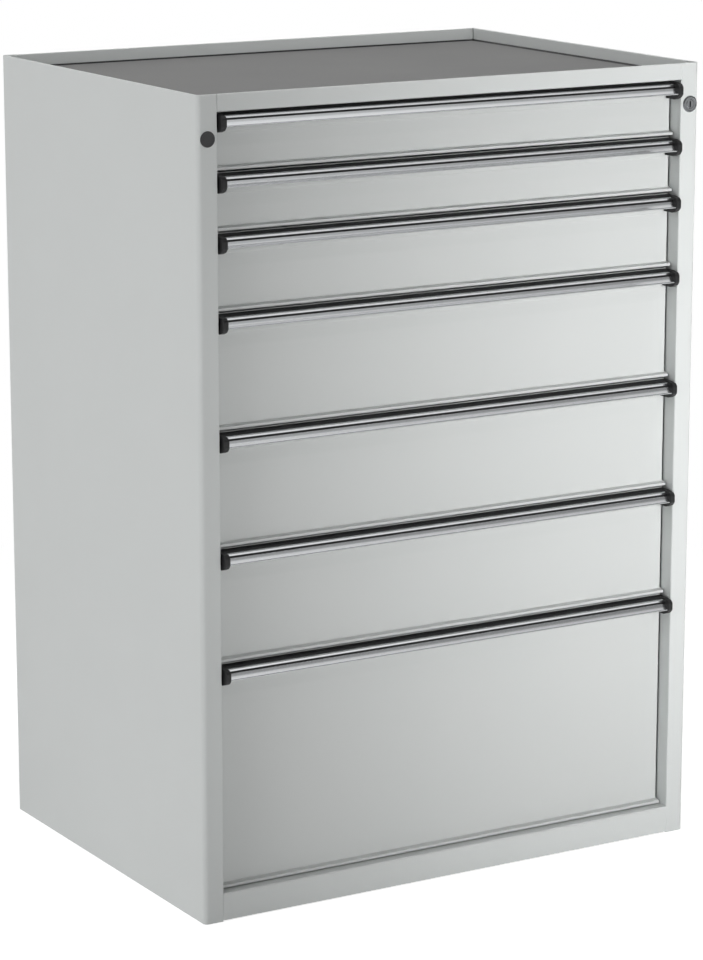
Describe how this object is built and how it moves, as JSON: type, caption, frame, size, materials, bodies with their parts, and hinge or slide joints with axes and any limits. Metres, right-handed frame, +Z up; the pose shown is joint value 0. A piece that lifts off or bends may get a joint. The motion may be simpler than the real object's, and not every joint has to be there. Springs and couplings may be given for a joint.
{
  "type": "drawer cabinet",
  "caption": "Free-standing steel drawer cabinet with full-width grips, telescopic runners, a rimmed top with a mat and a cylinder lock for all drawers.",
  "frame": {"origin": "on the floor under the middle of the overall box, grips included", "axes": "+X to the right, +Y to the back, +Z up; the drawers open along -Y"},
  "size_m": [0.75, 0.558, 1.06],
  "materials": {
    "housing_powder_coat": "light grey powder coat, satin",
    "front_powder_coat": "light grey powder coat, satin",
    "tray_powder_coat": "light grey powder coat, satin",
    "top_mat_rubber": "fine matt grain",
    "black_plastic": "fine moulded grain",
    "grip_aluminium": "satin anodised extrusion",
    "zinc_plated_steel": "bright zinc plate",
    "lock_chrome": "polished chrome plate"
  },
  "bodies": {
    "cabinet": {"side_panel_left": "housing_powder_coat", "side_panel_right": "housing_powder_coat", "back_panel": "housing_powder_coat", "top_panel": "housing_powder_coat", "top_mat": "top_mat_rubber", "base_front_rail": "housing_powder_coat", "bottom_panel": "housing_powder_coat", "uprights_front": "housing_powder_coat", "uprights_rear": "housing_powder_coat", "fixed_rails_left": "zinc_plated_steel", "fixed_rails_right": "zinc_plated_steel", "lock_barrel": "lock_chrome", "lock_clip": "zinc_plated_steel", "blanking_plug": "black_plastic"},
    "drawer_1": {"drawer_1_front": "front_powder_coat", "drawer_1_tray": "tray_powder_coat", "drawer_1_grip_body": "black_plastic", "drawer_1_grip_strip": "grip_aluminium", "drawer_1_drawer_rails": "zinc_plated_steel"},
    "runner_1": {"drawer_1_middle_rails": "zinc_plated_steel"},
    "drawer_2": {"drawer_2_front": "front_powder_coat", "drawer_2_tray": "tray_powder_coat", "drawer_2_grip_body": "black_plastic", "drawer_2_grip_strip": "grip_aluminium", "drawer_2_drawer_rails": "zinc_plated_steel"},
    "runner_2": {"drawer_2_middle_rails": "zinc_plated_steel"},
    "drawer_3": {"drawer_3_front": "front_powder_coat", "drawer_3_tray": "tray_powder_coat", "drawer_3_grip_body": "black_plastic", "drawer_3_grip_strip": "grip_aluminium", "drawer_3_drawer_rails": "zinc_plated_steel"},
    "runner_3": {"drawer_3_middle_rails": "zinc_plated_steel"},
    "drawer_4": {"drawer_4_front": "front_powder_coat", "drawer_4_tray": "tray_powder_coat", "drawer_4_grip_body": "black_plastic", "drawer_4_grip_strip": "grip_aluminium", "drawer_4_drawer_rails": "zinc_plated_steel"},
    "runner_4": {"drawer_4_middle_rails": "zinc_plated_steel"},
    "drawer_5": {"drawer_5_front": "front_powder_coat", "drawer_5_tray": "tray_powder_coat", "drawer_5_grip_body": "black_plastic", "drawer_5_grip_strip": "grip_aluminium", "drawer_5_drawer_rails": "zinc_plated_steel"},
    "runner_5": {"drawer_5_middle_rails": "zinc_plated_steel"},
    "drawer_6": {"drawer_6_front": "front_powder_coat", "drawer_6_tray": "tray_powder_coat", "drawer_6_grip_body": "black_plastic", "drawer_6_grip_strip": "grip_aluminium", "drawer_6_drawer_rails": "zinc_plated_steel"},
    "runner_6": {"drawer_6_middle_rails": "zinc_plated_steel"},
    "drawer_7": {"drawer_7_front": "front_powder_coat", "drawer_7_tray": "tray_powder_coat", "drawer_7_grip_body": "black_plastic", "drawer_7_grip_strip": "grip_aluminium", "drawer_7_drawer_rails": "zinc_plated_steel"},
    "runner_7": {"drawer_7_middle_rails": "zinc_plated_steel"},
    "lock_core": {"lock_core": "lock_chrome", "lock_cam": "zinc_plated_steel"},
    "lock_bar": {"lock_bar": "zinc_plated_steel"}
  },
  "joints": [
    {"name": "drawer_1_slide", "type": "slide", "parent": "cabinet", "child": "drawer_1", "axis": [0, -1, 0], "range_m": [0, 0.48]},
    {"name": "runner_1_slide", "type": "slide", "parent": "cabinet", "child": "runner_1", "axis": [0, -1, 0], "range_m": [0, 0.24]},
    {"name": "drawer_2_slide", "type": "slide", "parent": "cabinet", "child": "drawer_2", "axis": [0, -1, 0], "range_m": [0, 0.48]},
    {"name": "runner_2_slide", "type": "slide", "parent": "cabinet", "child": "runner_2", "axis": [0, -1, 0], "range_m": [0, 0.24]},
    {"name": "drawer_3_slide", "type": "slide", "parent": "cabinet", "child": "drawer_3", "axis": [0, -1, 0], "range_m": [0, 0.48]},
    {"name": "runner_3_slide", "type": "slide", "parent": "cabinet", "child": "runner_3", "axis": [0, -1, 0], "range_m": [0, 0.24]},
    {"name": "drawer_4_slide", "type": "slide", "parent": "cabinet", "child": "drawer_4", "axis": [0, -1, 0], "range_m": [0, 0.48]},
    {"name": "runner_4_slide", "type": "slide", "parent": "cabinet", "child": "runner_4", "axis": [0, -1, 0], "range_m": [0, 0.24]},
    {"name": "drawer_5_slide", "type": "slide", "parent": "cabinet", "child": "drawer_5", "axis": [0, -1, 0], "range_m": [0, 0.48]},
    {"name": "runner_5_slide", "type": "slide", "parent": "cabinet", "child": "runner_5", "axis": [0, -1, 0], "range_m": [0, 0.24]},
    {"name": "drawer_6_slide", "type": "slide", "parent": "cabinet", "child": "drawer_6", "axis": [0, -1, 0], "range_m": [0, 0.48]},
    {"name": "runner_6_slide", "type": "slide", "parent": "cabinet", "child": "runner_6", "axis": [0, -1, 0], "range_m": [0, 0.24]},
    {"name": "drawer_7_slide", "type": "slide", "parent": "cabinet", "child": "drawer_7", "axis": [0, -1, 0], "range_m": [0, 0.48]},
    {"name": "runner_7_slide", "type": "slide", "parent": "cabinet", "child": "runner_7", "axis": [0, -1, 0], "range_m": [0, 0.24]},
    {"name": "lock_core_turn", "type": "hinge", "parent": "cabinet", "child": "lock_core", "pos_m": [0.361, -0.271, 1.0057], "axis": [0, 1, 0], "range_deg": [0, 90]},
    {"name": "lock_bar_slide", "type": "slide", "parent": "cabinet", "child": "lock_bar", "axis": [0, 0, -1], "range_m": [0, 0.008]}
  ],
  "couplings": [
    {"joint": "runner_1_slide", "follows": "drawer_1_slide", "ratio": 0.5},
    {"joint": "runner_2_slide", "follows": "drawer_2_slide", "ratio": 0.5},
    {"joint": "runner_3_slide", "follows": "drawer_3_slide", "ratio": 0.5},
    {"joint": "runner_4_slide", "follows": "drawer_4_slide", "ratio": 0.5},
    {"joint": "runner_5_slide", "follows": "drawer_5_slide", "ratio": 0.5},
    {"joint": "runner_6_slide", "follows": "drawer_6_slide", "ratio": 0.5},
    {"joint": "runner_7_slide", "follows": "drawer_7_slide", "ratio": 0.5},
    {"joint": "lock_core_turn", "follows": "lock_bar_slide", "rad_per_m": 196.35}
  ]
}
